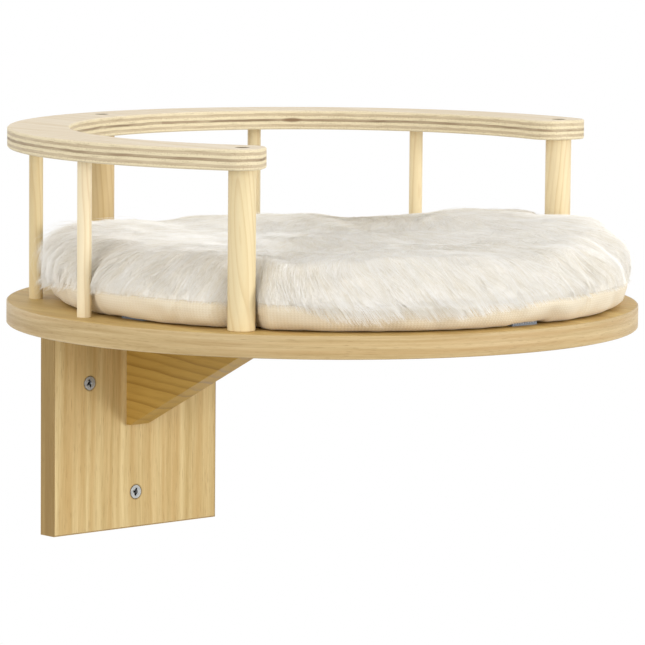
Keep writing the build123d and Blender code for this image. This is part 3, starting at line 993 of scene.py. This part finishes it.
# What each point of the hide tells the locks that grow there
hide_values = {
    "lay": "FLOAT_VECTOR",
    "reach": "FLOAT",
    "fluff": "FLOAT",
    "tone": "FLOAT",
    "sector": "INT",
    "ceiling": "FLOAT",
    "crowd": "FLOAT",
}
fur_pieces = 12
fluff_inside, pad_shoulder = 0.43, 0.186
hide = fur_cover.data
rows = []
for v in hide.vertices:
    out = v.co - cushion_middle
    degrees = degrees_round(out)
    outer = eased(out.xy.length, 0.14, 0.18)
    left_over = max(pad_shoulder - out.xy.length, 0) + v.co.z - seam_level
    left_over += by_angle(fringes, degrees)
    reach = left_over * (1 + 0.3 * noise.noise(v.co * 40))
    fluffed = fluff_inside + (by_angle(fluff_heights, degrees) - fluff_inside) * outer
    tufted = 0.25 * noise.noise(v.co * 24)
    tufted += 0.8 * noise.noise(v.co * 90) if fluffed > 1.5 else 0
    # Painted shade and light in the tone, where a higher tone makes darker fur: the patch called
    # shade darkens the back right, where shade falls, and the top within the rim and the fluffed
    # fur are made lighter against the shade that the locks cast on each other. The noise is the
    # fur's own patchy tone.
    shade = math.exp(-(((v.co.x - 0.10) / 0.07) ** 2 + ((v.co.y + 0.13) / 0.06) ** 2))
    tone = 0.16 + 0.24 * outer - 0.2 * eased(fluffed, 1, 3)
    tone += 0.35 * noise.noise(v.co * 19) + 0.2 * noise.noise(v.co * 60) + 0.4 * shade
    sector = int(degrees * fur_pieces / 360) % fur_pieces
    ceiling = fur_ceiling + by_angle(ceiling_rises, degrees)
    shaggy = eased(by_angle(fringes, degrees), 0.004, 0.011)
    crowd = 1 + 2.2 * shaggy * (1 - eased(v.co.z, seam_level + 0.006, seam_level + 0.016))
    lay = lay_of_fur(v.co, v.normal)
    rows.append((lay, reach, fluffed * (1 + tufted), tone, sector, ceiling, crowd))
for (label, kind), values in zip(hide_values.items(), zip(*rows)):
    write_attribute(hide, label, kind, values)


def upright_lines(name, kind):
    """The axes of the posts or of the spindles as plain edges."""
    ends = []
    for label, (angle, *_) in dowels.items():
        if label.startswith(kind):
            ends += [on_post_circle(angle, 0.09), on_post_circle(angle, 0.215)]
    mesh = bpy.data.meshes.new(name)
    mesh.from_pydata(ends, [(k, k + 1) for k in range(0, len(ends), 2)], [])
    return shown(name, mesh)


post_lines = upright_lines("post_lines", "post")
spindle_lines = upright_lines("spindle_lines", "spindle")

nodes, given, result = new_growth("fur_pile", {
    "Sector": 0,
    "Locks per square metre": 425000.0,
    "Lock length": 0.028,
    "Lock width": 0.00035,
    "Loft": 0.0018,
    "Seam level": 0.1165,
    "Shelf level": 0.0985,
    "Posts": "Object",
    "Spindles": "Object",
    "Seed": 5,
    "Fur": "Material",
})
steps = 4
hide_mesh, seam = given["Geometry"], given["Seam level"]


def keep(geometry, label, value, kind="FLOAT", domain="POINT"):
    """Stores a named value on the geometry."""
    inputs = {"Geometry": geometry, "Name": label, "Value": value}
    return nodes.get("GeometryNodeStoreNamedAttribute", inputs, data_type=kind, domain=domain)


def on_hide(value, place):
    """A direction as it is on the hide, nearest to a place."""
    inputs = {"Mesh": hide_mesh, "Value": value, "Sample Position": place}
    made = nodes.put("GeometryNodeSampleNearestSurface", inputs, data_type="FLOAT_VECTOR")
    return nodes.vector("NORMALIZE", made.outputs["Value"])


def chance(seed):
    """A number from 0 to 1 drawn for each lock."""
    made = nodes.put("FunctionNodeRandomValue", {"Seed": seed}, data_type="FLOAT")
    return [socket for socket in made.outputs if socket.enabled][0]


def nearest(target, place, element="FACES"):
    """Where the target is nearest to a place, and how far."""
    inputs = {0: target, "Sample Position": place}
    return nodes.put("GeometryNodeProximity", inputs, target_element=element).outputs


def either(choice, first, second):
    """The first vector where the choice is 0, the second where it is 1."""
    inputs = {0: choice, 4: first, 5: second}
    return nodes.put("ShaderNodeMix", inputs, data_type="VECTOR").outputs[1]


# The roots, each with its number, its luck and how high it lies
place = nodes.get("GeometryNodeInputPosition")
in_sector = nodes.put("FunctionNodeCompare", data_type="INT", operation="EQUAL")
compared = [socket for socket in in_sector.inputs if socket.enabled]
nodes.feed(compared[0], named("sector", "INT"))
nodes.feed(compared[1], given["Sector"])
on_top = nodes.math("GREATER_THAN", nodes.split(place)[2], nodes.plus(seam, 0.0006))
scattered = nodes.put("GeometryNodeDistributePointsOnFaces", {
    "Mesh": hide_mesh,
    "Selection": nodes.times(in_sector.outputs[0], on_top),
    "Density": nodes.times(given["Locks per square metre"], named("crowd")),
    "Seed": given["Seed"],
}).outputs
roots = keep(scattered["Points"], "up", scattered["Normal"], "FLOAT_VECTOR")
roots = keep(roots, "lock", nodes.get("GeometryNodeInputIndex"), "INT")
roots = keep(roots, "luck", chance(1))
clump = nodes.between(nodes.noise(place, 230, 2, 0.6), 0.32, 0.68)
roots = keep(roots, "clump", clump)
lift = nodes.plus(nodes.times(clump, 0.55), nodes.times(chance(2), 0.45))
roots = keep(roots, "lift", lift)
roots = keep(roots, "root", place, "FLOAT_VECTOR")
roots = keep(roots, "step", 0, "INT")

# Each turn of this loop walks every lock one stride further. hangs goes from 0 on the
# top to 1 at the seam and below it.
enter = nodes.put("GeometryNodeRepeatInput")
leave = nodes.put("GeometryNodeRepeatOutput")
enter.pair_with_output(leave)
leave.repeat_items.new("GEOMETRY", "Trail")
nodes.feed(enter.inputs["Iterations"], steps)
nodes.feed(enter.inputs["Geometry"], roots)
nodes.feed(enter.inputs["Trail"], roots)
count = nodes.plus(enter.outputs["Iteration"], 1)
share = nodes.over(count, steps)
height = nodes.split(place)[2]
hangs = nodes.between(height, nodes.plus(seam, 0.003), nodes.minus(seam, 0.001))

# On the hide it takes the lay of the fur, turned a little by patch, by wisp and by hair
normal = on_hide(nodes.get("GeometryNodeInputNormal"), place)
lay = on_hide(named("lay", "FLOAT_VECTOR"), place)
beside = nodes.vector("CROSS_PRODUCT", normal, lay)
root_place = named("root", "FLOAT_VECTOR")
luck, lift = named("luck"), named("lift")
turning = nodes.swing(nodes.noise(root_place, 60, 1), 1.3)
turning = nodes.plus(turning, nodes.swing(nodes.noise(root_place, 180, 1), 1.1))
turning = nodes.plus(turning, nodes.swing(luck, 0.2))
turning = nodes.times(turning, nodes.between(share, 0, 1, 0.4, 1.2))
aside = nodes.scaled(beside, turning)
heading = nodes.vector("NORMALIZE", nodes.shift(lay, aside))

# Below the seam it hangs free, standing off where the fur is fluffed
flare = nodes.math("MAXIMUM", nodes.minus(named("fluff"), 1), 0)
flare = nodes.times(nodes.times(flare, 0.24), lift)
flare = nodes.plus(flare, nodes.between(lift, 0, 1, 0.03, 0.26))
outward = nodes.scaled(nodes.stretch(normal, (1, 1, 0)), flare)
hanging = nodes.shift(nodes.shift(outward, (0, 0, -1)), aside)
hanging = nodes.vector("NORMALIZE", nodes.shift(hanging, nodes.scaled(lay, 0.6)))
going = either(hangs, heading, hanging)

# Its stride, and its height over the hide, where a few flyaway hairs rise above the rest
longest = nodes.times(given["Lock length"], nodes.between(luck, 0, 1, 0.65, 1.15))
allowed = nodes.times(named("reach"), nodes.between(lift, 0, 1, 0.8, 1.08))
whole = nodes.math("MAXIMUM", nodes.math("MINIMUM", longest, allowed), 0.003)
ahead = nodes.shift(place, nodes.scaled(going, nodes.over(whole, steps)))
flyaway = nodes.between(luck, 0.96, 1.0, 1.0, 2.8)
loft = nodes.times(given["Loft"], nodes.math("POWER", share, 0.7))
loft = nodes.times(loft, nodes.between(nodes.math("POWER", lift, 1.6), 0, 1, 0.25, 1.2))
loft = nodes.times(nodes.times(loft, named("fluff")), flyaway)
loft = nodes.math("MINIMUM", loft, 0.0125)
under = nearest(hide_mesh, ahead)["Position"]
above = on_hide(nodes.get("GeometryNodeInputNormal"), ahead)
going_to = either(hangs, nodes.shift(under, nodes.scaled(above, loft)), ahead)

# It keeps clear of the posts, the spindles and the shelf, and below its ceiling
post_clearance, spindle_clearance, shelf_clearance = 0.0097, 0.0054, 0.0007
for uprights, clear in (("Posts", post_clearance), ("Spindles", spindle_clearance)):
    target = {"Object": given[uprights]}
    axes = nodes.put("GeometryNodeObjectInfo", target).outputs["Geometry"]
    found = nearest(axes, going_to, "EDGES")
    from_axis = nodes.stretch(nodes.vector("SUBTRACT", going_to, found["Position"]), (1, 1, 0))
    short = nodes.math("MAXIMUM", nodes.minus(clear, found["Distance"]), 0)
    push = nodes.scaled(nodes.vector("NORMALIZE", from_axis), short)
    going_to = nodes.shift(going_to, push)
x, y, z = nodes.split(going_to)
z = nodes.math("MAXIMUM", z, nodes.plus(given["Shelf level"], shelf_clearance))
z = nodes.math("MINIMUM", z, named("ceiling"))
walked = nodes.get("GeometryNodeSetPosition", {
    "Geometry": enter.outputs["Geometry"],
    "Position": nodes.join(x, y, z),
})
walked = keep(walked, "step", count, "INT")
walked = keep(walked, "up", normal, "FLOAT_VECTOR")
nodes.feed(leave.inputs["Geometry"], walked)
nodes.feed(leave.inputs["Trail"], joined(enter.outputs["Trail"], walked))

# The walked points become strands, drawn out to a fine tip, with their own UV map
strands = nodes.get("GeometryNodePointsToCurves", {
    "Points": leave.outputs["Trail"],
    "Curve Group ID": named("lock", "INT"),
    "Weight": named("step", "INT"),
})
inputs = {"Curve": strands, "Normal": named("up", "FLOAT_VECTOR")}
strands = nodes.get("GeometryNodeSetCurveNormal", inputs, mode="FREE")
strands = keep(strands, "along", nodes.put("GeometryNodeSplineParameter").outputs["Factor"])
inputs = {"Resolution": 3, "Radius": nodes.times(given["Lock width"], 0.5)}
girth = moved(nodes.get("GeometryNodeCurvePrimitiveCircle", inputs), size=(0.42, 1, 1))
girth = keep(girth, "around", nodes.put("GeometryNodeSplineParameter").outputs["Factor"])
taper = nodes.math("POWER", nodes.minus(1.02, named("along")), 0.6)
taper = nodes.times(taper, nodes.between(lift, 0, 1, 0.7, 1.2))
hair = swept(strands, girth, taper)
# The UV map's second value is each lock's colour: the hide's tone, with its painted shade and
# painted light, and the lock's luck and clump
shade = nodes.plus(nodes.times(named("tone"), 0.45), nodes.times(luck, 0.25))
shade = nodes.plus(shade, nodes.times(named("clump"), -0.6))
shade = nodes.plus(nodes.plus(shade, nodes.times(named("around"), 0.05)), 0.5)
hair = keep(hair, "OFBake", nodes.join(named("along"), shade, 0), "FLOAT2", "CORNER")
hair = nodes.get("GeometryNodeSetShadeSmooth", {"Geometry": hair, "Shade Smooth": False})
put_out(hair, given["Fur"])
fur_tree = nodes.tree

# White at the tips, warmer at the roots, each lock a little different, and darker or lighter with
# the painted shade and light that its UV map carries
white_fur, nodes, shader = new_material("white_fur", Specular_IOR_Level=0.2)
u, v, w = nodes.split(nodes.get("ShaderNodeUVMap", uv_map="OFBake"))
tips = nodes.ramp(u, [
    (0.0, paint(242, 237, 226)),
    (0.35, paint(250, 247, 241)),
    (1.0, paint(254, 253, 250)),
])
colour = nodes.mix(nodes.between(v, 0.3, 1.0), tips, paint(225, 216, 195))
skin(nodes, shader, colour, nodes.between(u, 0, 1, 0.75, 0.55))

# The pile is grown in pieces, each a sector of the round, without its working values
lock_values = ("lock", "luck", "lift", "clump", "root", "step", "up", "along", "around")
blender_values = ("custom_normal", "normal_mode", "id")
for number in range(fur_pieces):
    piece = grow(f"fur_pile_{number + 1}", fur_tree, hide.copy(), {
        "Sector": number,
        "Seam level": seam_level,
        "Shelf level": over_shelf,
        "Posts": post_lines,
        "Spindles": spindle_lines,
        "Seed": 5 + number,
        "Fur": white_fur,
        "drop": (*hide_values, *lock_values, *blender_values),
    })
    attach(piece, "cushion")
for helper in (post_lines, spindle_lines):
    bpy.data.objects.remove(helper)
for label in hide_values:
    hide.attributes.remove(hide.attributes[label])

# The hide under the pile is the same white, seen only where the fur parts
fur_hide, nodes, shader = new_material("fur_hide", Specular_IOR_Level=0.2)
place = nodes.object_place()
locks = nodes.noise(nodes.stretch(place, (1, 1, 0.5)), 260, 3, 0.6, 1.2)
colour = nodes.ramp(locks, [(0.3, paint(244, 238, 226)), (0.7, paint(253, 250, 244))])
skin(nodes, shader, colour, nodes.between(locks, 0, 1, 0.9, 0.75), locks, 0.0012)
hide.materials.clear()
hide.materials.append(fur_hide)

# The lower cover: fine ribs aslant, each a row of small stitches, with a short fluff
rib_radius, ribs_per_metre, stitches_per_metre = 0.19, 900, 1250
ribbed_plush, nodes, shader = new_material(
    "ribbed_plush", Specular_IOR_Level=0.2, Sheen_Weight=0.2, Sheen_Roughness=0.5
)
place = nodes.object_place()
x, y, z = nodes.split(nodes.vector("SUBTRACT", place, cushion_middle))
ribs = nodes.times(nodes.times(nodes.math("ARCTAN2", y, x), rib_radius), ribs_per_metre)
slant = nodes.times(nodes.math("PINGPONG", ribs, 1), 0.8)
stitches = nodes.plus(nodes.times(z, stitches_per_metre), slant)
rib, stitch = (nodes.math("SINE", nodes.times(part, math.pi)) for part in (ribs, stitches))
knit = nodes.plus(nodes.times(rib, 0.16), nodes.times(stitch, 0.22))
fluff = nodes.noise(place, 1800, 2, 0.6)
knit = nodes.plus(nodes.plus(knit, 0.5), nodes.swing(fluff, 0.8))
plush = nodes.mix(nodes.between(knit, 0.1, 0.9), paint(219, 204, 175), paint(234, 222, 199))
faded = nodes.between(nodes.noise(place, 40, 2), 0.35, 0.7, 0, 0.3)
plush = nodes.mix(faded, plush, paint(236, 226, 204))
skin(nodes, shader, plush, nodes.between(fluff, 0, 1, 0.95, 0.8), knit, 0.00018)
base_cover.data.materials.clear()
base_cover.data.materials.append(ribbed_plush)

for piece, slot in ((base_cover, "base_fabric"), (fur_cover, "fur_fabric")):
    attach(piece, "cushion")
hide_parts("cushion_base")
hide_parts("cushion_top", "cushion_filling")

# Studio: a plain pale floor well below the bed, white beyond it, soft lamps and the camera
floor_level, floor_radius = -0.72, 2.55
floor_mesh = bpy.data.meshes.new("floor")
shape = bmesh.new()
bmesh.ops.create_circle(shape, cap_ends=True, segments=96, radius=floor_radius)
shape.to_mesh(floor_mesh)
shape.free()
floor_mesh.transform(Matrix.Translation((0, 0, floor_level)))
floor = shown("floor", floor_mesh)


def looked_at(nodes):
    """1 for what the camera sees, straight or in a gloss, 0 for the light that is cast."""
    path = nodes.put("ShaderNodeLightPath").outputs
    glanced = nodes.math("MAXIMUM", path["Is Glossy Ray"], path["Is Transmission Ray"])
    return nodes.math("MAXIMUM", path["Is Camera Ray"], glanced)


made, nodes, shader = new_material("floor_paper", Roughness=0.9, Specular_IOR_Level=0.1)
shader.inputs["Base Color"].default_value = (0.38, 0.38, 0.38, 1)
glow = nodes.times(looked_at(nodes), 0.75)
glow = nodes.get("ShaderNodeEmission", {"Color": (1, 1, 1, 1), "Strength": glow})
both = nodes.get("ShaderNodeAddShader", {0: shader.outputs[0], 1: glow})
nodes.feed(made.node_tree.nodes["Material Output"].inputs[0], both)
floor_mesh.materials.append(made)

world = bpy.data.worlds.new("studio")
bpy.context.scene.world = world
world.use_nodes = True
nodes = Nodes(world.node_tree)
backdrop = world.node_tree.nodes["Background"]
backdrop.inputs["Color"].default_value = (1, 1, 1, 1)
nodes.feed(backdrop.inputs["Strength"], nodes.between(looked_at(nodes), 0, 1, 0.84, 1.0))


def lamp(name, place, size, power):
    """A soft square lamp that faces the bed."""
    made = bpy.data.lights.new(name, "AREA")
    made.shape = "SQUARE"
    made.size = size
    made.energy = power
    held = shown(name, made)
    held.location = place
    held.rotation_mode = "QUATERNION"
    bed_middle = Vector((0, -0.2, 0.1))
    held.rotation_quaternion = (bed_middle - Vector(place)).to_track_quat("-Z", "Y")


lamp("key_lamp", (1.2, -2.76, 0.45), 0.8, 35)
lamp("top_lamp", (-0.7, -1.3, 2.5), 2.0, 8)
lamp("side_lamp", (-2.9, -1.3, 0.7), 1.3, 27)

# The camera stands where the photograph was taken: its place, its turn and its view in
# pixels of the photograph
photo_width, focal_length = 645, 4433
heading, dip, roll = math.radians(41.68), math.radians(6.525), math.radians(0.493)
camera = shown("camera", bpy.data.cameras.new("camera"))
bpy.context.scene.camera = camera
sight = Vector((
    math.sin(heading) * math.cos(dip), math.cos(heading) * math.cos(dip), -math.sin(dip)
))
level = Vector((math.cos(heading), -math.sin(heading), 0))
up = level.cross(sight)
across = level * math.cos(roll) + up * math.sin(roll)
above = up * math.cos(roll) - level * math.sin(roll)
facing = Matrix((across, above, -sight)).transposed().to_4x4()
camera.matrix_world = Matrix.Translation((-1.9985, -2.46, 0.42656)) @ facing
camera.data.sensor_width = 36
camera.data.lens = camera.data.sensor_width * focal_length / photo_width

bpy.context.scene.view_settings.view_transform = "Standard"
